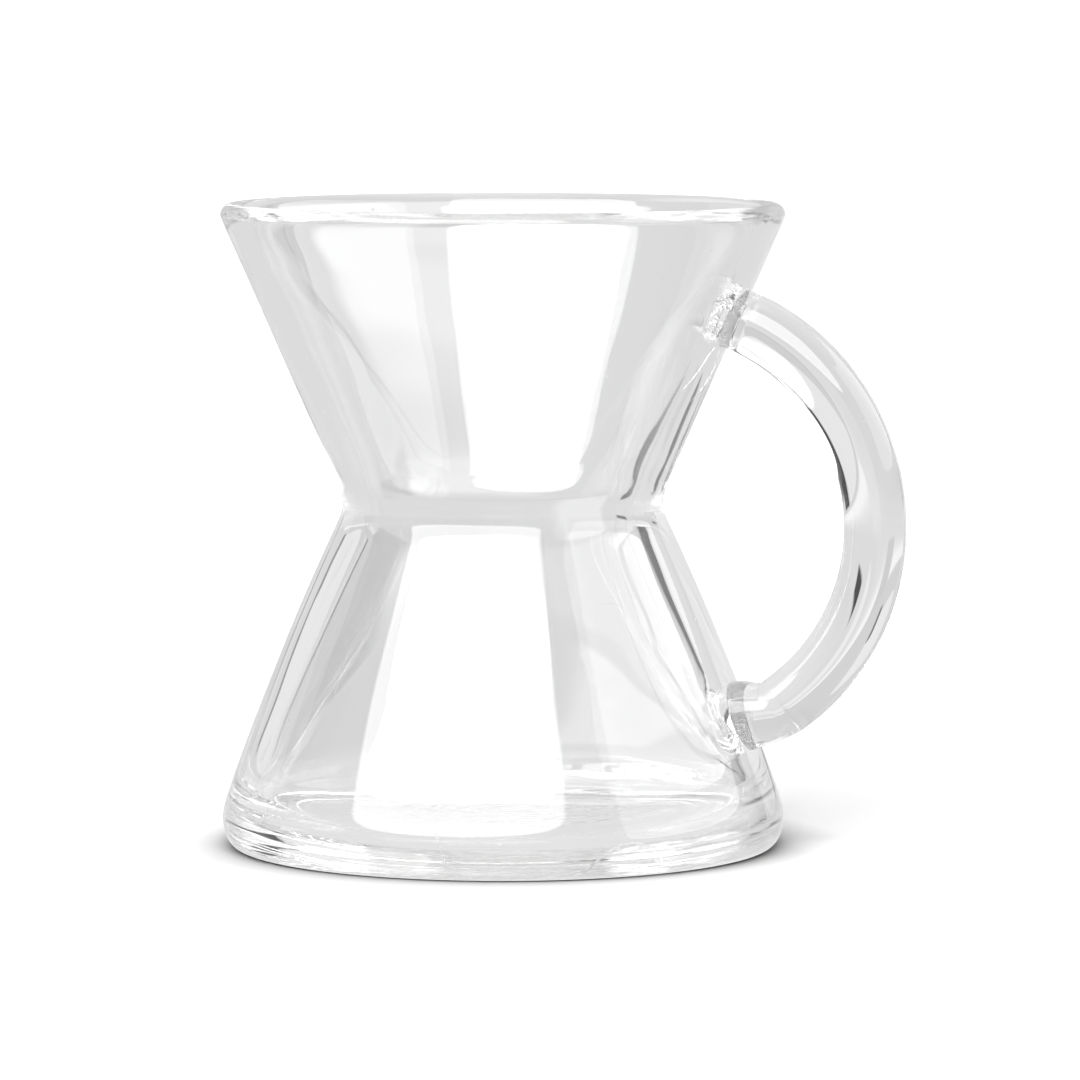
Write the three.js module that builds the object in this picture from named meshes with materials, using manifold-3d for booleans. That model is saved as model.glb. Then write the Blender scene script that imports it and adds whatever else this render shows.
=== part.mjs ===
// A one-cup hourglass pour over dripper, all in clear borosilicate glass: a funnel that takes
// the paper filter runs through an open waist into a flask that keeps the coffee, and a bent
// solid glass rod is fused to the side as a handle. Millimetres, +Z up. The origin is the centre
// of the foot, on the vessel's axis, and the handle lies in the XZ plane, towards +X.
import * as THREE from "three";
import { mergeVertices } from "three/addons/utils/BufferGeometryUtils.js";
import Module from "manifold-3d";

const wasm = await Module();
wasm.setup();

// Driving dimensions of the vessel.
const HEIGHT = 101.6;
const DIAMETER = 88.9; // of the rim, and of the flask just above the foot
const WAIST_DIAMETER = 50.5;
const WAIST_HEIGHT = 53.7;
const WAIST_UPPER_BEND = 11; // radii of the outside groove, seen from the side
const WAIST_LOWER_BEND = 3;
const FLASK_TOP_ANGLE = 25.3; // the flask's wall leans this far from upright below the waist
const FLASK_FOOT_ANGLE = 19.5; // and this far just above the heel
const HEEL_TOP = new THREE.Vector2(43.3, 9.2); // radius and height where the heel begins
const HEEL_WIDEST = 4.4;
const FOOT_RADIUS = 41.9; // of the flat face that the vessel stands on
const LIP_RADIUS = 1.9;
const LIP_CORNER = 2.6; // the soft outside corner is this far below the top

// Driving dimensions of the bore.
const BORE_WAIST_RADIUS = 20.7;
const BORE_WAIST_HEIGHT = 52;
const BORE_UPPER_BEND = 20;
const BORE_LOWER_BEND = 3;
const FLOOR_HEIGHT = 3.4; // the glass under the middle of the floor
const FLOOR_EDGE_HEIGHT = 2.9;
const FLOOR_EDGE_RADIUS = 31;
const FLASK_WALL = 4.4; // measured across, at the height where the floor's corner starts
const CORNER_TOP = 10.5;

// Driving dimensions of the handle, in the XZ plane.
const ROD_RADIUS = 4.9;
const HANDLE_RADIUS = 34.6; // of the rod's centreline
const HANDLE_CENTRE = new THREE.Vector2(25.4, 51.6);
const UPPER_END_ANGLE = 66.7; // the rod's ends, round the handle's centre, above +X
const LOWER_END_ANGLE = -56;
const UPPER_WELD_HEIGHT = 84; // the middle of each weld, on the vessel's wall
const LOWER_WELD_HEIGHT = 21.5;
const WELD_FLARE = 1; // a weld's foot is this much wider than the rod
const WELD_FLARE_HEIGHT = 1;
const FUSE_GAP = 0.3; // separate solids stay this far apart where the glass is fused

const ROUND_STEPS = 64; // round the vessel's axis
const ROD_SIDES = 20;
const ROD_STEPS = 34;

const radians = THREE.MathUtils.degToRad;
const at = (radius, height) => new THREE.Vector2(radius, height);
const onCircle = (centre, radius, degrees) =>
  at(
    centre.x + radius * Math.cos(radians(degrees)),
    centre.y + radius * Math.sin(radians(degrees)),
  );

// The outline's parts, each a list of points from its start to its end.
const arc = (centre, radius, from, to, steps) =>
  Array.from({ length: steps + 1 }, (_, i) =>
    onCircle(centre, radius, from + ((to - from) * i) / steps),
  );
const bend = (start, corner, end, steps) =>
  new THREE.QuadraticBezierCurve(start, corner, end).getPoints(steps);

// Where the line that leans `angle` from upright at `from` meets the one that leans `other` at `to`.
function meeting(from, angle, to, other) {
  const a = Math.tan(radians(angle));
  const b = Math.tan(radians(other));
  const height = (from.x - to.x + b * to.y - a * from.y) / (b - a);
  return at(from.x + a * (height - from.y), height);
}

// The angle of the points where one straight line touches the side nearer the axis of two circles.
function sharedTangent(low, lowRadius, high, highRadius) {
  const way = high.clone().sub(low);
  const lean = Math.acos((lowRadius - highRadius) / way.length());
  return THREE.MathUtils.radToDeg(way.angle() + lean);
}

// The vessel's outside, from the middle of the foot up to the top of the lip.
function outsideOutline() {
  const widest = DIAMETER / 2;
  const lipCentre = at(widest - LIP_RADIUS, HEIGHT - LIP_RADIUS);
  const corner = at(widest - 0.2, HEIGHT - LIP_CORNER);
  const above = at(WAIST_DIAMETER / 2 + WAIST_UPPER_BEND, WAIST_HEIGHT);
  const below = at(WAIST_DIAMETER / 2 + WAIST_LOWER_BEND, WAIST_HEIGHT);
  const funnelTangent = sharedTangent(above, WAIST_UPPER_BEND, corner, 0);
  const flaskTangent = 180 + FLASK_TOP_ANGLE;
  const flaskTop = onCircle(below, WAIST_LOWER_BEND, flaskTangent);
  const shoulder = meeting(flaskTop, -FLASK_TOP_ANGLE, HEEL_TOP, -FLASK_FOOT_ANGLE);
  const heelSide = meeting(at(widest, 0), 0, HEEL_TOP, -FLASK_FOOT_ANGLE);
  const heel = Array.from({ length: 6 }, (_, i) => {
    const turn = radians(-90 + 18 * i);
    return at(
      FOOT_RADIUS + (widest - FOOT_RADIUS) * Math.cos(turn),
      HEEL_WIDEST * (1 + Math.sin(turn)),
    );
  });
  return [
    at(0, 0),
    ...heel,
    ...bend(at(widest, HEEL_WIDEST), heelSide, HEEL_TOP, 4).slice(1),
    ...bend(HEEL_TOP, shoulder, flaskTop, 9).slice(1),
    ...arc(below, WAIST_LOWER_BEND, flaskTangent, 180, 3).slice(1),
    ...arc(above, WAIST_UPPER_BEND, 180, funnelTangent, 4).slice(1),
    corner,
    ...arc(lipCentre, LIP_RADIUS, 0, 90, 5),
  ];
}

// The bore, from the top of the lip down to the middle of the floor.
function boreOutline(outside) {
  const lipCentre = at(DIAMETER / 2 - LIP_RADIUS, HEIGHT - LIP_RADIUS);
  const above = at(BORE_WAIST_RADIUS + BORE_UPPER_BEND, BORE_WAIST_HEIGHT);
  const below = at(BORE_WAIST_RADIUS + BORE_LOWER_BEND, BORE_WAIST_HEIGHT);
  const tangent = sharedTangent(above, BORE_UPPER_BEND, lipCentre, LIP_RADIUS);
  const flaskTangent = 180 + FLASK_TOP_ANGLE;
  const flaskTop = onCircle(below, BORE_LOWER_BEND, flaskTangent);
  const cornerTop = at(wallAt(outside, CORNER_TOP).radius - FLASK_WALL, CORNER_TOP);
  const shoulder = meeting(flaskTop, -FLASK_TOP_ANGLE, cornerTop, -FLASK_FOOT_ANGLE);
  const floorEdge = at(FLOOR_EDGE_RADIUS, FLOOR_EDGE_HEIGHT);
  const lean = Math.tan(radians(FLASK_FOOT_ANGLE));
  const cornerBottom = at(cornerTop.x + lean * (CORNER_TOP - FLOOR_EDGE_HEIGHT), FLOOR_EDGE_HEIGHT);
  return [
    ...arc(lipCentre, LIP_RADIUS, 90, tangent, 4).slice(1),
    ...arc(above, BORE_UPPER_BEND, tangent, 180, 4),
    ...arc(below, BORE_LOWER_BEND, 180, flaskTangent, 3).slice(1),
    ...bend(flaskTop, shoulder, cornerTop, 8).slice(1),
    ...bend(cornerTop, cornerBottom, floorEdge, 6).slice(1),
    ...bend(floorEdge, at(FLOOR_EDGE_RADIUS / 2, FLOOR_HEIGHT), at(0, FLOOR_HEIGHT), 3).slice(1),
  ];
}

// The outside wall at a height: its radius, and its outward normal in the XZ plane.
function wallAt(outside, height) {
  const above = outside.findIndex((p, i) => i > 1 && p.y > height);
  const [low, high] = [outside[above - 1], outside[above]];
  const share = (height - low.y) / (high.y - low.y);
  const along = high.clone().sub(low).normalize();
  return { radius: low.x + share * (high.x - low.x), normal: at(along.y, -along.x) };
}

// A solid turned round the vessel's axis, from an outline that starts and ends on it.
function turned(outline, steps) {
  return new THREE.LatheGeometry(outline, steps).rotateX(Math.PI / 2);
}

// manifold-3d solids to and from three.js geometry.
function solid(geometry) {
  const bare = geometry.clone();
  bare.deleteAttribute("normal");
  bare.deleteAttribute("uv");
  const merged = mergeVertices(bare, 1e-4);
  const triVerts = new Uint32Array(merged.index.array);
  const vertProperties = merged.attributes.position.array;
  return new wasm.Manifold(new wasm.Mesh({ numProp: 3, vertProperties, triVerts }));
}
function geometryOf(manifold) {
  const mesh = manifold.getMesh();
  const geometry = new THREE.BufferGeometry();
  geometry.setAttribute("position", new THREE.BufferAttribute(mesh.vertProperties, 3));
  geometry.setIndex(new THREE.BufferAttribute(mesh.triVerts, 1));
  geometry.computeVertexNormals();
  return geometry;
}

const circle = (radius, sides) =>
  new THREE.Shape(
    Array.from({ length: sides }, (_, i) => onCircle(at(0, 0), radius, (360 * i) / sides)),
  );
const inPlane = (p) => new THREE.Vector3(p.x, 0, p.y);

// A round bar of glass along a curve.
const barAlong = (curve, radius, steps) =>
  new THREE.ExtrudeGeometry(circle(radius, ROD_SIDES), {
    steps,
    bevelEnabled: false,
    extrudePath: curve,
  });

// The rod's centreline: part of a circle in the XZ plane, from the upper end to the lower one.
class HandleLine extends THREE.Curve {
  getPoint(share, target = new THREE.Vector3()) {
    const turn = UPPER_END_ANGLE + (LOWER_END_ANGLE - UPPER_END_ANGLE) * share;
    return target.copy(inPlane(onCircle(HANDLE_CENTRE, HANDLE_RADIUS, turn)));
  }
}

// The glass between one end of the rod and the wall: a stub that turns square to the wall,
// with a flared foot where it has run out over it.
function weld(rodEnd, rodWay, wallHeight, outside) {
  const wall = wallAt(outside, wallHeight);
  const normal = inPlane(wall.normal);
  const onWall = new THREE.Vector3(wall.radius, 0, wallHeight);
  const start = rodEnd.clone().addScaledVector(rodWay, FUSE_GAP);
  const inside = onWall.clone().addScaledVector(normal, -ROD_RADIUS / 2);
  const reach = start.distanceTo(onWall) / 2;
  const stub = new THREE.CubicBezierCurve3(
    start,
    start.clone().addScaledVector(rodWay, reach),
    onWall.clone().addScaledVector(normal, reach / 2),
    inside,
  );
  const flare = [
    at(0, -ROD_RADIUS / 2),
    at(ROD_RADIUS + WELD_FLARE, -ROD_RADIUS / 2),
    ...bend(
      at(ROD_RADIUS + WELD_FLARE, FUSE_GAP),
      at(ROD_RADIUS, FUSE_GAP),
      at(ROD_RADIUS - 0.1, WELD_FLARE_HEIGHT),
      4,
    ),
    at(0, WELD_FLARE_HEIGHT),
  ];
  const foot = new THREE.LatheGeometry(flare, ROD_SIDES)
    .applyQuaternion(
      new THREE.Quaternion().setFromUnitVectors(new THREE.Vector3(0, 1, 0), normal),
    )
    .translate(...onWall);
  const vessel = turned(
    [...outside.map((p) => at(p.x && p.x + FUSE_GAP, p.y)), at(0, HEIGHT)],
    ROUND_STEPS,
  );
  return geometryOf(
    solid(barAlong(stub, ROD_RADIUS, 6)).add(solid(foot)).subtract(solid(vessel)),
  );
}

function glass(tint) {
  return new THREE.MeshStandardMaterial({ color: tint, roughness: 0.02, metalness: 0 });
}

function piece(name, geometry, material) {
  const mesh = new THREE.Mesh(geometry, material);
  mesh.name = name;
  return mesh;
}

const outside = outsideOutline();
const vesselGlass = glass(0xeef1f1);
const handleGlass = glass(0xe9edee);
const handleLine = new HandleLine();
const upperEnd = handleLine.getPoint(0);
const lowerEnd = handleLine.getPoint(1);
const upperWay = handleLine.getTangent(0).negate();
const lowerWay = handleLine.getTangent(1);

const dripper = new THREE.Group();
dripper.add(
  piece("vessel", turned([...outside, ...boreOutline(outside)], ROUND_STEPS), vesselGlass),
  piece("handle_rod", barAlong(handleLine, ROD_RADIUS, ROD_STEPS), handleGlass),
  piece("upper_weld", weld(upperEnd, upperWay, UPPER_WELD_HEIGHT, outside), handleGlass),
  piece("lower_weld", weld(lowerEnd, lowerWay, LOWER_WELD_HEIGHT, outside), handleGlass),
);

export default dripper;
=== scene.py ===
"""Looks for a one-cup hourglass pour over dripper of clear borosilicate glass.

The vessel is turned from its outline, with the slight waves that hand work leaves. The handle is a
bent solid rod, and a weld of run-out glass joins each of its ends to the wall. The four pieces are
closed, and where two of them are fused they share the same faces, which let light straight through.
Clear glass shows what stands round it, so the studio's panels of light are part of the look.
"""

import math

import bpy
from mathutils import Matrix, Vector, noise


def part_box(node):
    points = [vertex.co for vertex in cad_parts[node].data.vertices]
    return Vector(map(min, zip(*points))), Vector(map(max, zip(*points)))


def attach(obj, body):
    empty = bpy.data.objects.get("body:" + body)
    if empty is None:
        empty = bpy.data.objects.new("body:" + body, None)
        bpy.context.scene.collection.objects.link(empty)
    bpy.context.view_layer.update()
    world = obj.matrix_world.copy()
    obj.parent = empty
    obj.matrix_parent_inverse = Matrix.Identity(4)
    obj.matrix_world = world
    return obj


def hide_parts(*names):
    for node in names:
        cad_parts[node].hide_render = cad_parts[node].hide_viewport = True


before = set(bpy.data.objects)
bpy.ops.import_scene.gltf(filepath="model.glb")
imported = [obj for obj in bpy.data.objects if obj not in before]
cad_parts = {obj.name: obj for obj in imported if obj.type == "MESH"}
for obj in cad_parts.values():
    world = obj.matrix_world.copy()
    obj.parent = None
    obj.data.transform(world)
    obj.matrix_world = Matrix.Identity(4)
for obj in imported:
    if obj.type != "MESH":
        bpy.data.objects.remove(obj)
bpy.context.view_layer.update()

MM = 0.001

# Vessel, in metres. Its radius and height are the CAD vessel's.
LOW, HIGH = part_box("vessel")
RIM_RADIUS = HIGH.x
HEIGHT = HIGH.z
WAIST_RADIUS = 25.25 * MM
WAIST_HEIGHT = 53.7 * MM
WAIST_UPPER_BEND = 11 * MM
WAIST_LOWER_BEND = 3 * MM
FLASK_TOP_ANGLE = 25.3  # degrees from upright
FLASK_FOOT_ANGLE = 19.5
HEEL_TOP = (43.3 * MM, 9.2 * MM)  # radius and height
HEEL_WIDEST = 4.4 * MM
FOOT_RADIUS = 41.9 * MM
FOOT_RING = 5 * MM  # the width of the ring that bears on the table
FOOT_RISE = 0.25 * MM  # of the middle of the underside
WALL_EASE = 0.8 * MM  # how softly the outside and the bore turn their corners
BORE_EASE = 1.8 * MM
LIP_RADIUS = 1.9 * MM
LIP_CORNER = 2.6 * MM  # the funnel's side would meet the lip this far below the rim
LIP_BEAD = 0.2 * MM  # and this far inside it
LIP_START = 0.055  # the share of the funnel's side that bends into the lip
BORE_WAIST_RADIUS = 20.7 * MM
BORE_WAIST_HEIGHT = 52 * MM
BORE_UPPER_BEND = 20 * MM
BORE_LOWER_BEND = 3 * MM
FLOOR_HEIGHT = 3.4 * MM
FLOOR_EDGE_HEIGHT = 2.9 * MM
FLOOR_EDGE_RADIUS = 31 * MM
FLASK_WALL = 4.4 * MM
CORNER_TOP = 10.5 * MM

# Handle, in metres, in the XZ plane.
ROD_RADIUS = 4.9 * MM
HANDLE_RADIUS = 34.6 * MM
HANDLE_CENTRE = (25.4 * MM, 51.6 * MM)
ROD_UNEVEN = 0.006  # how much of its radius the rod swells and thins by
ROD_NECK = 0.02  # how much it is drawn in at its ends
UPPER_END_ANGLE = 66.7  # degrees up from +X, round the handle's centre
LOWER_END_ANGLE = -56
UPPER_WELD_HEIGHT = 84 * MM
LOWER_WELD_HEIGHT = 21.5 * MM
UPPER_SEAT_RADIUS = 5.6 * MM
LOWER_SEAT_RADIUS = 5.5 * MM
SEAT_OVAL = 0.03  # how far a weld's footprint is from round

# How finely the pieces are meshed.
AROUND = 288  # steps round the vessel's axis
WALL_STEP = 0.83 * MM  # along the outside wall
BORE_STEP = 1.1 * MM  # along the bore
PATCH = 20  # a weld's patch of wall is this many steps wide and high
ROD_SIDES = 4 * PATCH
PATCH_RINGS = 7
DISC_RINGS = 6
WELD_STEPS = 16
ROD_STEPS = 110


# --- outlines: lists of (radius, height) -------------------------------------------------------


def on_circle(centre, radius, degrees):
    turn = math.radians(degrees)
    return (centre[0] + radius * math.cos(turn), centre[1] + radius * math.sin(turn))


def arc(centre, radius, start, end, steps):
    return [
        on_circle(centre, radius, start + (end - start) * i / steps)
        for i in range(steps + 1)
    ]


def bend(start, corner, end, steps):
    """A parabola from start to end that heads for corner at both ends."""
    points = []
    for i in range(steps + 1):
        t = i / steps
        a, b, c = (1 - t) ** 2, 2 * t * (1 - t), t * t
        points.append(tuple(a * p + b * q + c * r for p, q, r in zip(start, corner, end)))
    return points


def meeting(start, angle, end, other):
    """Where the line leaning angle from upright at start meets the one leaning other at end."""
    a, b = math.tan(math.radians(angle)), math.tan(math.radians(other))
    height = (start[0] - end[0] + b * end[1] - a * start[1]) / (b - a)
    return (start[0] + a * (height - start[1]), height)


def shared_tangent(low, low_radius, high, high_radius):
    """The angle at which one line touches the side nearer the axis of two circles."""
    across, up = high[0] - low[0], high[1] - low[1]
    lean = math.acos((low_radius - high_radius) / math.hypot(across, up))
    return math.degrees(math.atan2(up, across) + lean)


def eased(points, step, ease):
    """The same line with its bends eased over about ease metres, in even steps of about step."""
    fine = 0.2 * MM
    dense = [points[0]]
    for low, high in zip(points, points[1:]):
        count = max(1, round(math.dist(low, high) / fine))
        dense += [
            tuple(p + (q - p) * i / count for p, q in zip(low, high))
            for i in range(1, count + 1)
        ]
    reach = round(3 * ease / fine)
    weights = [math.exp(-((i * fine / ease) ** 2) / 2) for i in range(-reach, reach + 1)]
    total = sum(weights)

    def at(i):
        """The line runs straight on past its ends."""
        if i < 0:
            return tuple(2 * p - q for p, q in zip(dense[0], dense[-i]))
        if i >= len(dense):
            return tuple(2 * p - q for p, q in zip(dense[-1], dense[2 * len(dense) - i - 2]))
        return dense[i]

    count = max(2, round(len(dense) * fine / step))
    line = []
    for k in range(count + 1):
        middle = round(k * (len(dense) - 1) / count)
        near = [at(middle + i) for i in range(-reach, reach + 1)]
        line.append(tuple(sum(w * p[j] for w, p in zip(weights, near)) / total for j in (0, 1)))
    return line


LIP_CENTRE = (RIM_RADIUS - LIP_RADIUS, HEIGHT - LIP_RADIUS)


def outside_outline():
    """From the edge of the flat foot up to the top of the lip."""
    above = (WAIST_RADIUS + WAIST_UPPER_BEND, WAIST_HEIGHT)
    below = (WAIST_RADIUS + WAIST_LOWER_BEND, WAIST_HEIGHT)
    corner = (RIM_RADIUS - LIP_BEAD, HEIGHT - LIP_CORNER)
    funnel = shared_tangent(above, WAIST_UPPER_BEND, corner, 0)
    flask = 180 + FLASK_TOP_ANGLE
    flask_top = on_circle(below, WAIST_LOWER_BEND, flask)
    shoulder = meeting(flask_top, -FLASK_TOP_ANGLE, HEEL_TOP, -FLASK_FOOT_ANGLE)
    heel_side = meeting((RIM_RADIUS, 0), 0, HEEL_TOP, -FLASK_FOOT_ANGLE)
    funnel_foot = on_circle(above, WAIST_UPPER_BEND, funnel)
    funnel_top = tuple(c + (f - c) * LIP_START for c, f in zip(corner, funnel_foot))
    heel = [
        (
            FOOT_RADIUS + (RIM_RADIUS - FOOT_RADIUS) * math.cos(turn),
            HEEL_WIDEST * (1 + math.sin(turn)),
        )
        for turn in (math.radians(-90 + 6 * i) for i in range(16))
    ]
    side = (
        bend(HEEL_TOP, shoulder, flask_top, 60)
        + arc(below, WAIST_LOWER_BEND, flask, 180, 6)[1:]
        + arc(above, WAIST_UPPER_BEND, 180, funnel, 8)[1:]
        + [funnel_top]
    )
    lip_side = (RIM_RADIUS, LIP_CENTRE[1])
    return (
        heel
        + bend((RIM_RADIUS, HEEL_WIDEST), heel_side, HEEL_TOP, 8)[1:]
        + eased(side, WALL_STEP, WALL_EASE)[1:]
        + bend(funnel_top, corner, lip_side, 8)[1:]
        + arc(LIP_CENTRE, LIP_RADIUS, 0, 90, 10)[1:]
    )


def wall_radius(outline, height):
    """The radius of the outside wall at a height above the heel."""
    above = next(i for i, p in enumerate(outline) if i and p[1] > height)
    low, high = outline[above - 1], outline[above]
    share = (height - low[1]) / (high[1] - low[1])
    return low[0] + share * (high[0] - low[0])


def bore_outline(outside):
    """From the top of the lip down to the middle of the floor."""
    above = (BORE_WAIST_RADIUS + BORE_UPPER_BEND, BORE_WAIST_HEIGHT)
    below = (BORE_WAIST_RADIUS + BORE_LOWER_BEND, BORE_WAIST_HEIGHT)
    funnel = shared_tangent(above, BORE_UPPER_BEND, LIP_CENTRE, LIP_RADIUS)
    flask = 180 + FLASK_TOP_ANGLE
    flask_top = on_circle(below, BORE_LOWER_BEND, flask)
    corner_top = (wall_radius(outside, CORNER_TOP) - FLASK_WALL, CORNER_TOP)
    shoulder = meeting(flask_top, -FLASK_TOP_ANGLE, corner_top, -FLASK_FOOT_ANGLE)
    lean = math.tan(math.radians(FLASK_FOOT_ANGLE))
    corner_foot = (corner_top[0] + lean * (CORNER_TOP - FLOOR_EDGE_HEIGHT), FLOOR_EDGE_HEIGHT)
    floor_edge = (FLOOR_EDGE_RADIUS, FLOOR_EDGE_HEIGHT)
    lip = arc(LIP_CENTRE, LIP_RADIUS, 90, funnel, 9)
    funnel_foot = on_circle(above, BORE_UPPER_BEND, funnel)
    side = (
        [lip[-1], funnel_foot]
        + arc(above, BORE_UPPER_BEND, funnel, 180, 8)[1:]
        + arc(below, BORE_LOWER_BEND, 180, flask, 6)[1:]
        + bend(flask_top, shoulder, corner_top, 60)[1:]
        + bend(corner_top, corner_foot, floor_edge, 40)[1:]
        + bend(floor_edge, (FLOOR_EDGE_RADIUS / 2, FLOOR_HEIGHT), (0, FLOOR_HEIGHT), 60)[1:]
    )
    return lip[1:] + eased(side, BORE_STEP, BORE_EASE)[1:-1] + [(0, FLOOR_HEIGHT)]


def foot_outline():
    """From the middle of the underside out to the edge of the flat foot."""
    ring = FOOT_RADIUS - FOOT_RING
    rim = [(ring + (FOOT_RADIUS - ring) * i / 4, 0) for i in range(1, 4)]
    return bend((0, FOOT_RISE), (ring * 0.6, FOOT_RISE), (ring, 0), 34) + rim


# --- meshes ---------------------------------------------------------------------------------------


class Skin:
    """The points and faces of one piece. Slot 0 is its surface, and slot 1 where it is fused."""

    def __init__(self):
        self.points, self.faces, self.slots = [], [], []

    def add(self, points):
        first = len(self.points)
        self.points.extend(points)
        return list(range(first, len(self.points)))

    def face(self, corners, slot=0):
        self.faces.append(corners)
        self.slots.append(slot)

    def band(self, low, high, slot=0):
        """Quads between two closed rings, each anticlockwise as seen from high's side."""
        for i in range(len(low)):
            j = (i + 1) % len(low)
            self.face((low[i], low[j], high[j], high[i]), slot)

    def fan(self, ring, middle, slot=0):
        for i in range(len(ring)):
            self.face((ring[i], ring[(i + 1) % len(ring)], middle), slot)

    def build(self, name):
        mesh = bpy.data.meshes.new(name)
        mesh.from_pydata(self.points, [], self.faces)
        mesh.polygons.foreach_set("material_index", self.slots)
        mesh.shade_smooth()
        slots = {}
        for polygon, slot in zip(mesh.polygons, self.slots):
            for key in polygon.edge_keys:
                slots.setdefault(key, set()).add(slot)
        for edge in mesh.edges:
            edge.use_edge_sharp = len(slots[edge.key]) > 1
        mesh.update()
        piece = bpy.data.objects.new(name, mesh)
        bpy.context.scene.collection.objects.link(piece)
        return piece


# --- the hand-made waves ----------------------------------------------------------------------


WALL_WAVE = 0.17 * MM  # how far the outside wall strays from its outline
WALL_WAVE_WIDTH = 23 * MM
WALL_FADE = 14 * MM  # over which the waves fade out above the heel and below the lip
HEEL_CALM = 9 * MM
LIP_CALM = 6 * MM
BORE_WAVE = 0.22 * MM  # the bore strays in broad waves with small ones on them
BORE_WAVE_WIDTH = 26 * MM
BORE_DIMPLE = 0.05 * MM
BORE_DIMPLE_WIDTH = 9 * MM
BORE_FADE = 8 * MM  # over which its waves fade out below the lip
WELD_DENT = 0.15 * MM  # the bore is pushed in behind each weld
WELD_DENT_RADIUS = 6.5 * MM
WELD_RING_RADIUS = 5.6 * MM  # with a ring of ripples in the dent
WELD_RING_WIDTH = 1.5 * MM
WELD_RIPPLES = ((UPPER_WELD_HEIGHT, 0.02 * MM), (LOWER_WELD_HEIGHT, 0.07 * MM))
FLOOR_BLEND = 5 * MM  # over which the floor's marks give way to the bore's waves
FOOT_MARK = 0.05 * MM
FOOT_FLAT = 5.5 * MM  # no marks this near the edge of the foot


def wave(radius, height, turn, width, place):
    """Smooth noise between -1 and 1 with features of about width, from another place each time."""
    return noise.noise(
        Vector((radius * math.cos(turn), radius * math.sin(turn), height)) / width
        + Vector((place, 0, 0))
    )


def wall_wave(radius, height, turn):
    """How far the outside wall stands off its outline. The lip and the foot are true."""
    above_heel = (height - HEEL_CALM) / WALL_FADE
    below_lip = (HEIGHT - LIP_CALM - height) / WALL_FADE
    calm = min(1, max(0, above_heel), max(0, below_lip))
    return calm * WALL_WAVE * wave(radius, 0.8 * height, turn, WALL_WAVE_WIDTH, 4.4)


def bore_wave(radius, height, turn):
    """How far the bore's surface stands off its outline, towards the axis."""
    off = BORE_WAVE * wave(radius, height, turn, BORE_WAVE_WIDTH, 3.1)
    off += BORE_DIMPLE * wave(radius, height, turn, BORE_DIMPLE_WIDTH, 7.7)
    for weld, ripple in WELD_RIPPLES:
        across = radius * math.atan2(math.sin(turn), math.cos(turn))
        away = math.hypot(across, height - weld)
        off += WELD_DENT * math.exp(-((away / WELD_DENT_RADIUS) ** 2))
        edge = (away - WELD_RING_RADIUS) / WELD_RING_WIDTH
        edge += 0.4 * wave(radius, height, turn, 5 * MM, 2.2)
        off += ripple * math.cos(3.5 * edge) * math.exp(-(edge**2))
    return off


def floor_wave(radius, turn):
    """The turning marks in the floor of the flask, on a broad unevenness."""
    drift = 1.6 * wave(radius, 0, turn, 18 * MM, 1.3)
    ripple = math.sin(radius / (0.95 * MM) + 2 * drift) * (0.5 + 0.5 * drift)
    return (0.05 * ripple + 0.2 * wave(radius, 0, turn, 15 * MM, 5.9)) * MM


def foot_wave(radius, turn):
    """The turning marks in the underside, none of them below the foot."""
    drift = 1.5 * wave(radius, 0, turn, 20 * MM, 9.4)
    edge = min(1, max(0, (FOOT_RADIUS - FOOT_FLAT - radius) / (3 * MM)))
    return edge * FOOT_MARK * (1 + math.sin(radius / (0.8 * MM) + 3 * drift))


# --- the vessel --------------------------------------------------------------------------------


OUTSIDE = outside_outline()


def nearest_row(height):
    return min(range(24, len(OUTSIDE)), key=lambda i: abs(OUTSIDE[i][1] - height))


def on_wall(row, turn):
    """A point of the outside wall, row being a place between two of the outline's points."""
    low = int(row)
    share = row - low
    a, b = OUTSIDE[low], OUTSIDE[min(low + 1, len(OUTSIDE) - 1)]
    radius, height = (p + (q - p) * share for p, q in zip(a, b))
    return waved((radius, height), "wall", turn)


class Seat:
    """Where a weld meets the wall: a round footprint in a patch of the outside."""

    def __init__(self, height, radius):
        self.row = nearest_row(height)
        self.radius = radius
        step = math.dist(OUTSIDE[self.row - 1], OUTSIDE[self.row + 1]) / 2
        self.up = 1 / step
        self.around = 1 / OUTSIDE[self.row][0]

    def edge(self):
        """The patch's border, in rows and turns, anticlockwise from its lower left corner."""
        half = PATCH // 2
        ahead = [i - half for i in range(PATCH)]
        sides = (
            [(-half, i) for i in ahead]
            + [(i, half) for i in ahead]
            + [(half, -i) for i in ahead]
            + [(-i, -half) for i in ahead]
        )
        return [(self.row + r, c * 2 * math.pi / AROUND) for r, c in sides]

    def footprint(self, share=1.0):
        """Its outline, shrunk to share, in rows and turns."""
        places = []
        for i in range(ROD_SIDES):
            turn = ring_turn(i)
            reach = self.radius * share * (1 + SEAT_OVAL * math.sin(2 * turn + 0.7))
            places.append(
                (
                    self.row + reach * math.sin(turn) * self.up,
                    reach * math.cos(turn) * self.around,
                )
            )
        return places

    def ring(self, share=1.0):
        return [on_wall(*place) for place in self.footprint(share)]

    def middle(self):
        return on_wall(self.row, 0)


def ring_turn(i):
    return math.radians(-135 + 360 * i / ROD_SIDES)


def vessel_rows():
    """The whole outline, with the kind of wave that each of its points gets."""
    rows = [(p, "foot") for p in foot_outline()]
    rows += [(p, "wall") for p in OUTSIDE]
    rows += [(p, "bore") for p in bore_outline(OUTSIDE)]
    return rows


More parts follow.
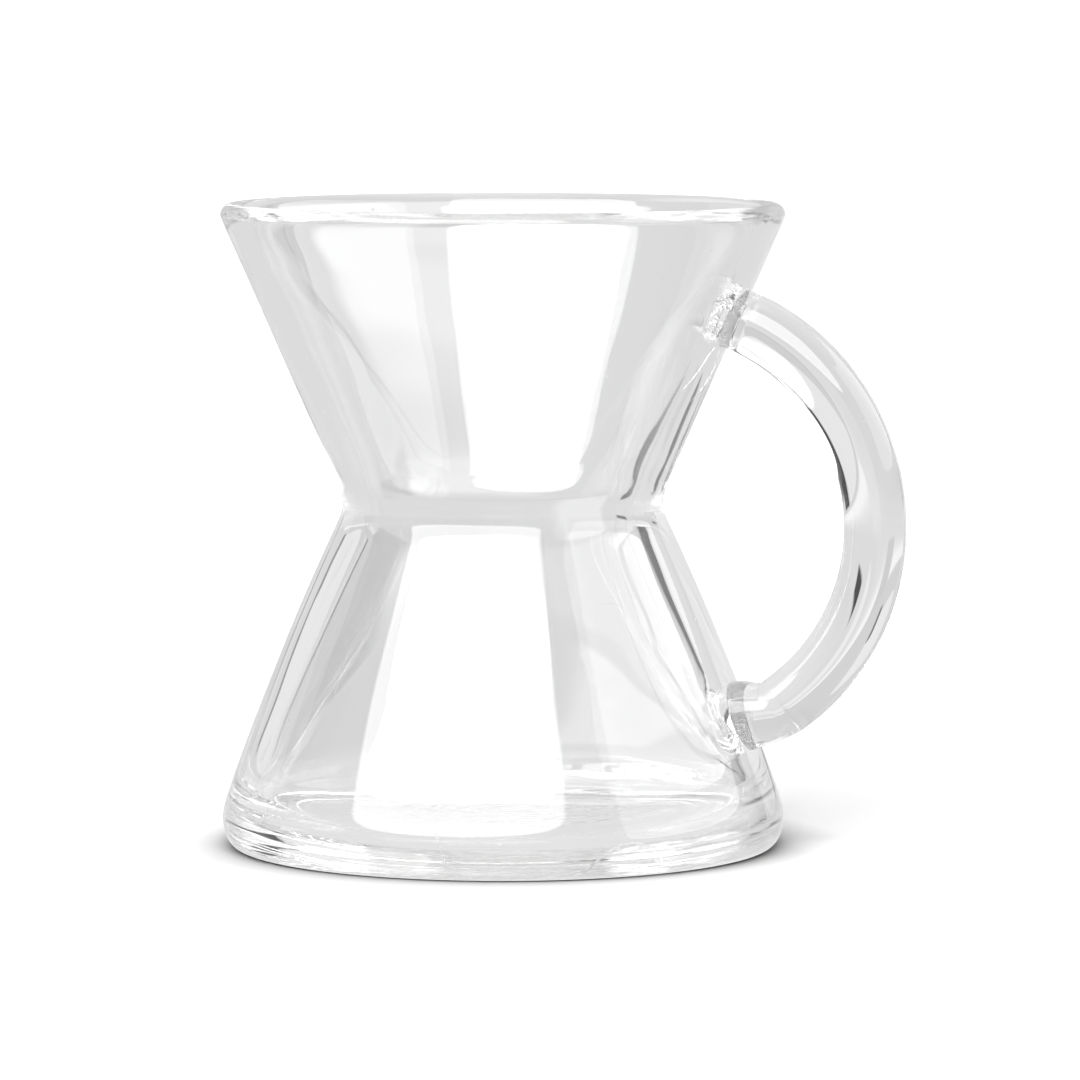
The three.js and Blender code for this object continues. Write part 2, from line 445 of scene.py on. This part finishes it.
def waved(point, kind, turn):
    """The point of the outline, turned round the axis and moved by its kind of wave."""
    radius, height = point
    if kind == "wall":
        radius += wall_wave(radius, height, turn)
    elif kind == "foot":
        height += foot_wave(radius, turn)
    elif kind == "bore":
        floor = min(1, max(0, (FLOOR_EDGE_RADIUS - radius) / FLOOR_BLEND))
        if height > HEEL_CALM:  # the bore above the floor, which is as near the axis
            floor = 0
        depth = min(1, max(0, (HEIGHT - height) / BORE_FADE))
        radius -= depth * (1 - floor) * bore_wave(radius, height, turn) * min(1, radius / (9 * MM))
        height += floor * floor_wave(radius, turn)
    return Vector((radius * math.cos(turn), radius * math.sin(turn), height))


def add_seat(skin, seat, outer):
    """Fill the patch inside the ring outer: bare wall down to the footprint, then the fused disc."""
    for ring in range(1, PATCH_RINGS + 1):
        share = ring / PATCH_RINGS
        places = [
            tuple(p + (q - p) * share for p, q in zip(start, end))
            for start, end in zip(seat.edge(), seat.footprint())
        ]
        inner = skin.add([on_wall(*place) for place in places])
        skin.band(outer, inner)
        outer = inner
    for ring in range(1, DISC_RINGS):
        inner = skin.add(seat.ring(1 - ring / DISC_RINGS))
        skin.band(outer, inner, 1)
        outer = inner
    skin.fan(outer, skin.add([seat.middle()])[0], 1)


def make_vessel(seats):
    skin = Skin()
    rows = vessel_rows()
    step = 2 * math.pi / AROUND
    turns = [2 * math.pi * j / AROUND for j in range(AROUND)]
    rings = [
        skin.add([waved(point, kind, turn) for turn in turns])
        for point, kind in rows[1:-1]
    ]
    first_wall = len(foot_outline()) - 1
    half = PATCH // 2
    for i, (low, high) in enumerate(zip(rings, rings[1:])):
        row = i - first_wall
        patched = any(-half <= row - seat.row < half for seat in seats)
        for j in range(AROUND):
            if patched and (j < half or j >= AROUND - half):
                continue
            k = (j + 1) % AROUND
            skin.face((low[j], low[k], high[k], high[j]))
    bottom = skin.add([waved(rows[0][0], "foot", 0)])[0]
    floor = skin.add([waved(rows[-1][0], "bore", 0)])[0]
    skin.fan(rings[0][::-1], bottom)
    skin.fan(rings[-1], floor)
    for seat in seats:
        border = [
            rings[first_wall + round(row)][round(turn / step) % AROUND]
            for row, turn in seat.edge()
        ]
        add_seat(skin, seat, border)
    return skin.build("glass_vessel")


# --- the handle --------------------------------------------------------------------------------


def handle_point(degrees):
    x, z = on_circle(HANDLE_CENTRE, HANDLE_RADIUS, degrees)
    return Vector((x, 0, z))


def handle_way(degrees):
    """The way along the rod, from its upper end to its lower end."""
    turn = math.radians(degrees)
    return Vector((math.sin(turn), 0, -math.cos(turn)))


ACROSS = Vector((0, 1, 0))


def round_ring(centre, way, radius):
    up = way.cross(ACROSS)
    return [
        centre + radius * (math.cos(t) * ACROSS + math.sin(t) * up)
        for t in map(ring_turn, range(ROD_SIDES))
    ]


def turned_over(ring):
    """The same ring as seen from its other side."""
    shift = ROD_SIDES * 3 // 4
    return [ring[(shift - i) % ROD_SIDES] for i in range(ROD_SIDES)]


def rod_radius(share):
    """The radius at a share of the rod's length: uneven, and drawn in at the welds."""
    ends = math.exp(-share * 170) + math.exp(-(1 - share) * 170)
    return ROD_RADIUS * (1 + ROD_UNEVEN * math.sin(7 * share + 1) - ROD_NECK * ends)


def make_rod():
    skin = Skin()
    span = LOWER_END_ANGLE - UPPER_END_ANGLE
    rings = []
    for i in range(ROD_STEPS + 1):
        share = (1 - math.cos(math.pi * i / ROD_STEPS)) / 2
        angle = UPPER_END_ANGLE + span * share
        ring = round_ring(handle_point(angle), handle_way(angle), rod_radius(share))
        rings.append(skin.add(ring))
    for low, high in zip(rings, rings[1:]):
        skin.band(low, high)
    skin.fan(rings[0][::-1], skin.add([handle_point(UPPER_END_ANGLE)])[0], 1)
    skin.fan(rings[-1], skin.add([handle_point(LOWER_END_ANGLE)])[0], 1)
    return skin.build("glass_handle_rod")


def make_weld(name, seat, end_angle, way, rod_ring, rise, reach):
    """Glass run out from the rod's end over the wall.

    way leads from the wall along the rod. The weld leaves the wall straight out by about rise, and
    comes in to the rod in line with it over about reach.
    """
    skin = Skin()
    base, middle = seat.ring(), seat.middle()
    out = (base[ROD_SIDES // 4] - middle).cross(base[ROD_SIDES // 2] - middle).normalized()
    rings = []
    for i in range(WELD_STEPS + 1):
        t = (i / WELD_STEPS) ** 1.3
        a, b, c, d = (1 - t) ** 3, 3 * t * (1 - t) ** 2, 3 * t * t * (1 - t), t**3
        rings.append(
            skin.add(
                [
                    a * p + b * (p + out * rise) + c * (q - way * reach) + d * q
                    for p, q in zip(base, rod_ring)
                ]
            )
        )
    for low, high in zip(rings, rings[1:]):
        skin.band(low, high)
    skin.fan(rings[-1], skin.add([handle_point(end_angle)])[0], 1)
    outer = rings[0][::-1]
    for ring in range(1, DISC_RINGS):
        inner = skin.add(seat.ring(1 - ring / DISC_RINGS))[::-1]
        skin.band(outer, inner, 1)
        outer = inner
    skin.fan(outer, skin.add([middle])[0], 1)
    return skin.build(name)


def make_welds(seats):
    upper_way = handle_way(UPPER_END_ANGLE)
    lower_way = handle_way(LOWER_END_ANGLE)
    upper_ring = round_ring(handle_point(UPPER_END_ANGLE), upper_way, rod_radius(0))
    lower_ring = round_ring(handle_point(LOWER_END_ANGLE), lower_way, rod_radius(1))
    return (
        make_weld(
            "glass_upper_weld",
            seats[0],
            UPPER_END_ANGLE,
            upper_way,
            upper_ring,
            0.3 * MM,
            1.0 * MM,
        ),
        make_weld(
            "glass_lower_weld",
            seats[1],
            LOWER_END_ANGLE,
            -lower_way,
            turned_over(lower_ring),
            2.4 * MM,
            1.2 * MM,
        ),
    )


# --- materials ---------------------------------------------------------------------------------

GLASS_TINT = (0.988, 0.99, 0.989, 1)
GLASS_IOR = 1.473
THREAD_HEIGHT = 0.02 * MM
SEED_DEPTH = -0.05 * MM


def new_material(name):
    material = bpy.data.materials.new(name)
    material.use_nodes = True
    return material, material.node_tree, material.node_tree.nodes["Principled BSDF"]


def glass_material():
    material, tree, shader = new_material("clear_borosilicate")
    shader.inputs["Base Color"].default_value = GLASS_TINT
    shader.inputs["Roughness"].default_value = 0.0
    shader.inputs["IOR"].default_value = GLASS_IOR
    shader.inputs["Transmission Weight"].default_value = 1.0
    sums = Nodes(tree)
    place = sums.make("ShaderNodeTexCoord").outputs["Object"]
    relief = sums.maths("ADD", drawn_threads(sums, place), seeds(sums, place))
    bump = tree.nodes.new("ShaderNodeBump")
    bump.inputs["Strength"].default_value = 1.0
    bump.inputs["Distance"].default_value = 1.0
    tree.links.new(relief, bump.inputs["Height"])
    tree.links.new(bump.outputs[0], shader.inputs["Normal"])
    return material


def drawn_threads(sums, place):
    """Fine threads left in the surface as the hot glass was drawn and turned, in metres."""
    wander = sums.make("ShaderNodeTexNoise", place)
    wander.inputs["Scale"].default_value = 26.0
    wander.inputs["Detail"].default_value = 1.0
    off = sums.maths("ABSOLUTE", sums.maths("SUBTRACT", wander.outputs["Fac"], 0.5))
    thread = sums.ramp(off, 0.0, 0.003, THREAD_HEIGHT, 0.0)
    patches = sums.make("ShaderNodeTexNoise", place)
    patches.inputs["Scale"].default_value = 17.0
    return sums.maths("MULTIPLY", thread, sums.ramp(patches.outputs["Fac"], 0.56, 0.62))


def seeds(sums, place):
    """A few tiny bubbles that broke at the surface, in metres."""
    cells = sums.make("ShaderNodeTexVoronoi", place)
    cells.inputs["Scale"].default_value = 130.0
    chosen = sums.make("ShaderNodeSeparateColor", cells.outputs["Color"]).outputs[0]
    pit = sums.ramp(cells.outputs["Distance"], 0.0, 0.04, SEED_DEPTH, 0.0)
    return sums.maths("MULTIPLY", pit, sums.ramp(chosen, 0.3, 0.32))


def fused_material():
    """Where two pieces are one glass: nothing shows."""
    material, tree, shader = new_material("fused_inside")
    shader.inputs["Alpha"].default_value = 0.0
    return material


def floor_material():
    """White paper with painted shade round the dripper's foot. Seen through the glass it is a
    painted glow instead, which falls off to grey behind the dripper.
    """
    material, tree, shader = new_material("white_sweep")
    shader.inputs["Roughness"].default_value = 1.0
    shader.inputs["Specular IOR Level"].default_value = 0.0
    sums = Nodes(tree)
    # Painted shade: ambient occlusion darkens the paper's colour near the glass.
    painted_contact_shade = sums.make("ShaderNodeAmbientOcclusion", (PAPER, PAPER, PAPER, 1), PAINTED_SHADE_REACH)
    tree.links.new(painted_contact_shade.outputs["Color"], shader.inputs["Base Color"])
    place = sums.make("ShaderNodeTexCoord").outputs["Object"]
    away = sums.make("ShaderNodeVectorMath", place, operation="LENGTH").outputs["Value"]
    near = sums.ramp(away, 0.06, 0.22, FLOOR_UNDER, FLOOR_BEHIND)
    level = sums.maths("ADD", near, sums.ramp(away, 0.45, 1.1, 0.0, FLOOR_FAR - FLOOR_BEHIND))
    level = sums.maths("ADD", level, sums.ramp(away, 1.6, 3.0, 0.0, FLOOR_END - FLOOR_FAR))
    for middle, half_width, low, high, painted_glow in PAINTED_GLOW_PATCHES:
        beyond = sums.ramp(away, low, low * 1.1)
        within = sums.ramp(away, high, high * 1.1, 1.0, 0.0)
        mask = sums.maths("MULTIPLY", sector(sums, place, middle, half_width, 1.0), beyond)
        level = sums.blend(level, sums.maths("MULTIPLY", mask, within), painted_glow)
    # Painted glow: every ray but the camera's sees this light in place of the paper.
    painted_glow = sums.make("ShaderNodeEmission", None, level).outputs[0]
    seen = sums.make("ShaderNodeLightPath").outputs["Is Camera Ray"]
    mixed = sums.make("ShaderNodeMixShader", seen, painted_glow, shader.outputs[0])
    tree.links.new(mixed.outputs[0], tree.nodes["Material Output"].inputs["Surface"])
    return material


# --- studio ------------------------------------------------------------------------------------

CAMERA_TURN = 15.0  # the camera stands this far round from -Y towards +X
CAMERA_RISE = 5.05
CAMERA_DISTANCE = 1.0137
CAMERA_TARGET = Vector((0, 0, 51.3 * MM))
CAMERA_ASIDE = 5.85 * MM
CAMERA_BELOW = 3.0 * MM
CAMERA_LENS = 213.8
PAPER = 0.84  # how white the floor is to the camera
PAINTED_SHADE_REACH = 11 * MM  # how far the shade painted into the floor round the dripper's foot reaches
FLOOR_UNDER = 0.82  # its painted glow through the glass: under the dripper, behind it and far off
FLOOR_BEHIND = 0.72
FLOOR_FAR = 0.95
FLOOR_END = 0.66
PAINTED_GLOW_PATCHES = [  # heading, half width, nearest, farthest, glow
    (171, 4.5, 0.13, 0.42, 0.86),  # seen through the handle
    (173, 5, 0.52, 1.9, 0.78),  # through the funnel's right side
    (-166, 5.3, 0.57, 6, 0.62),  # through the flask's left side
    (155, 4.5, 0.235, 0.31, 0.03),  # a painted dark patch, seen as the dark streak along the funnel's right edge
]
HORIZON = 0.7  # radiance of the sweep all round
SIDES = 0.08  # above it
CEILING = 0.9  # and overhead
PANELS = [  # heading, half width, lowest and highest rise, tilt, squareness, radiance
    (191, 51, -10, 72, 0, 24, 0.65),  # the grey behind the dripper
    (-146, 12, 3, 16, 0, 4, 0.84),  # lighter behind its left edge
    (156, 14, -10, 26, 0, 8, 0.84),  # and behind its right edge and the handle
    (-22, 52, 22, 58, -3, 4, 7.0),  # the soft box over the camera's left shoulder
    (92, 39, 12, 46, 0, 8, 1.9),  # the weaker one at the right
    (137.5, 2.2, 6, 60, 0, 16, 0.02),  # the gap that draws the flask's dark line
    (130, 8.5, -4, 7, 0, 8, 0.02),  # and its wider foot, for the handle's inner edge
    (-156.5, 1.5, 2, 6, 0, 6, 0.15),  # the fine line down the flask's left side
]


def make_camera():
    turn, rise = math.radians(CAMERA_TURN), math.radians(CAMERA_RISE)
    towards = Vector(
        (math.sin(turn) * math.cos(rise), -math.cos(turn) * math.cos(rise), math.sin(rise))
    )
    right = Vector((math.cos(turn), math.sin(turn), 0))
    up = towards.cross(right)
    data = bpy.data.cameras.new("camera")
    data.lens = CAMERA_LENS
    data.sensor_width = 36
    data.clip_start = 0.01
    data.clip_end = 100
    camera = bpy.data.objects.new("camera", data)
    bpy.context.scene.collection.objects.link(camera)
    eye = CAMERA_TARGET + towards * CAMERA_DISTANCE
    look_at = CAMERA_TARGET + right * CAMERA_ASIDE - up * CAMERA_BELOW
    camera.location = eye
    camera.rotation_euler = (look_at - eye).to_track_quat("-Z", "Y").to_euler()
    bpy.context.scene.camera = camera
    return camera


def make_floor():
    size = 6
    low = -0.05 * MM  # just clear of the glass foot
    mesh = bpy.data.meshes.new("floor")
    corners = [(-size, -size, low), (size, -size, low), (size, size, low), (-size, size, low)]
    mesh.from_pydata(corners, [], [(0, 1, 2, 3)])
    floor = bpy.data.objects.new("floor", mesh)
    floor.data.materials.append(floor_material())
    bpy.context.scene.collection.objects.link(floor)
    return floor


class Nodes:
    """Short names for building sums out of shader nodes."""

    def __init__(self, tree):
        self.tree = tree

    def make(self, kind, *inputs, **settings):
        node = self.tree.nodes.new(kind)
        for key, value in settings.items():
            setattr(node, key, value)
        for socket, value in zip(node.inputs, inputs):
            if value is None:
                continue
            if isinstance(value, bpy.types.NodeSocket):
                self.tree.links.new(value, socket)
            else:
                socket.default_value = value
        return node

    def maths(self, operation, *inputs):
        return self.make("ShaderNodeMath", *inputs, operation=operation).outputs[0]

    def dot(self, vector, other):
        node = self.make("ShaderNodeVectorMath", vector, other, operation="DOT_PRODUCT")
        return node.outputs["Value"]

    def blend(self, outside, mask, inside):
        """outside where mask is 0, and the number inside where it is 1."""
        gain = self.maths("SUBTRACT", inside, outside)
        return self.maths("MULTIPLY_ADD", gain, mask, outside)

    def ramp(self, value, low, high, start=0.0, end=1.0):
        """Smooth from start at low to end at high."""
        node = self.make("ShaderNodeMapRange", value, interpolation_type="SMOOTHSTEP")
        limits = {"From Min": low, "From Max": high, "To Min": start, "To Max": end}
        for name, number in limits.items():
            node.inputs[name].default_value = number
        return node.outputs[0]


def turn_from(sums, way, middle):
    """How far way points to either side of the heading middle, in radians."""
    along = sums.dot(way, heading(middle)[:])
    across = sums.dot(way, heading(middle + 90)[:])
    return sums.maths("ABSOLUTE", sums.maths("ARCTAN2", across, along))


def sector(sums, way, middle, half_width, soft):
    """1 where way points within half_width degrees of the heading middle."""
    turn = turn_from(sums, way, middle)
    return sums.ramp(turn, math.radians(half_width - soft), math.radians(half_width + soft), 1.0, 0.0)


def heading(degrees, rise=0.0):
    """A way out from the dripper: degrees to the right of the camera, rise above the floor."""
    turn = math.radians(CAMERA_TURN + degrees - 90)
    up = math.radians(rise)
    return Vector((math.cos(up) * math.cos(turn), math.cos(up) * math.sin(turn), math.sin(up)))


def panel_mask(sums, way, middle, half_width, low, high, tilt, square):
    """1 inside a panel with rounded corners; the higher square is, the tighter they are."""
    up = Vector((0, 0, 1)) + math.tan(math.radians(tilt)) * heading(middle + 90)
    rise = sums.maths("ARCSINE", sums.dot(way, up.normalized()[:]))
    across = sums.maths("DIVIDE", turn_from(sums, way, middle), math.radians(half_width))
    off = sums.maths("SUBTRACT", rise, math.radians((low + high) / 2))
    high_off = sums.maths("DIVIDE", sums.maths("ABSOLUTE", off), math.radians((high - low) / 2))
    reach = sums.maths(
        "ADD", sums.maths("POWER", across, square), sums.maths("POWER", high_off, square)
    )
    return sums.ramp(reach, 0.92, 1.08, 1.0, 0.0)


def rise_ramp(sums, rise, low, high, start=0.0, end=1.0):
    """rise is the height of a way out of length 1; low and high are in degrees."""
    return sums.ramp(rise, math.sin(math.radians(low)), math.sin(math.radians(high)), start, end)


def make_studio():
    """Pale at the horizon and overhead, with panels of light and dark in the sides between.

    The camera itself sees plain white.
    """
    world = bpy.data.worlds.new("studio")
    bpy.context.scene.world = world
    world.use_nodes = True
    tree = world.node_tree
    tree.nodes.clear()
    sums = Nodes(tree)
    way = sums.make("ShaderNodeTexCoord").outputs["Generated"]
    parts = sums.make("ShaderNodeSeparateXYZ", way)
    rise = parts.outputs["Z"]
    level = rise_ramp(sums, rise, 1, 6, HORIZON, SIDES)
    level = sums.blend(level, rise_ramp(sums, rise, 66, 74), CEILING)
    for panel in PANELS:
        level = sums.blend(level, panel_mask(sums, way, *panel[:-1]), panel[-1])
    studio = sums.make("ShaderNodeBackground", None, level)
    studio.inputs["Color"].default_value = (1, 1, 1, 1)
    plain = sums.make("ShaderNodeBackground", (1, 1, 1, 1), 1.05)
    seen = sums.make("ShaderNodeLightPath").outputs["Is Camera Ray"]
    mixed = sums.make("ShaderNodeMixShader", seen, studio.outputs[0], plain.outputs[0])
    out = tree.nodes.new("ShaderNodeOutputWorld")
    tree.links.new(mixed.outputs[0], out.inputs["Surface"])


def set_render_paths():
    """Let light through as many walls of glass as it meets, so that none of them turns black."""
    scene = bpy.context.scene
    scene.view_settings.view_transform = "Standard"
    scene.cycles.max_bounces = 160
    scene.cycles.transmission_bounces = 160
    scene.cycles.glossy_bounces = 160
    scene.cycles.transparent_max_bounces = 64


# --- assembly ----------------------------------------------------------------------------------

make_camera()
make_studio()
make_floor()
set_render_paths()

clear, fused = glass_material(), fused_material()
seats = [
    Seat(UPPER_WELD_HEIGHT, UPPER_SEAT_RADIUS),
    Seat(LOWER_WELD_HEIGHT, LOWER_SEAT_RADIUS),
]
upper_weld, lower_weld = make_welds(seats)
for piece, node in (
    (make_vessel(seats), "vessel"),
    (make_rod(), "handle_rod"),
    (upper_weld, "upper_weld"),
    (lower_weld, "lower_weld"),
):
    piece.data.materials.append(clear)
    piece.data.materials.append(fused)
    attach(piece, "root")
    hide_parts(node)
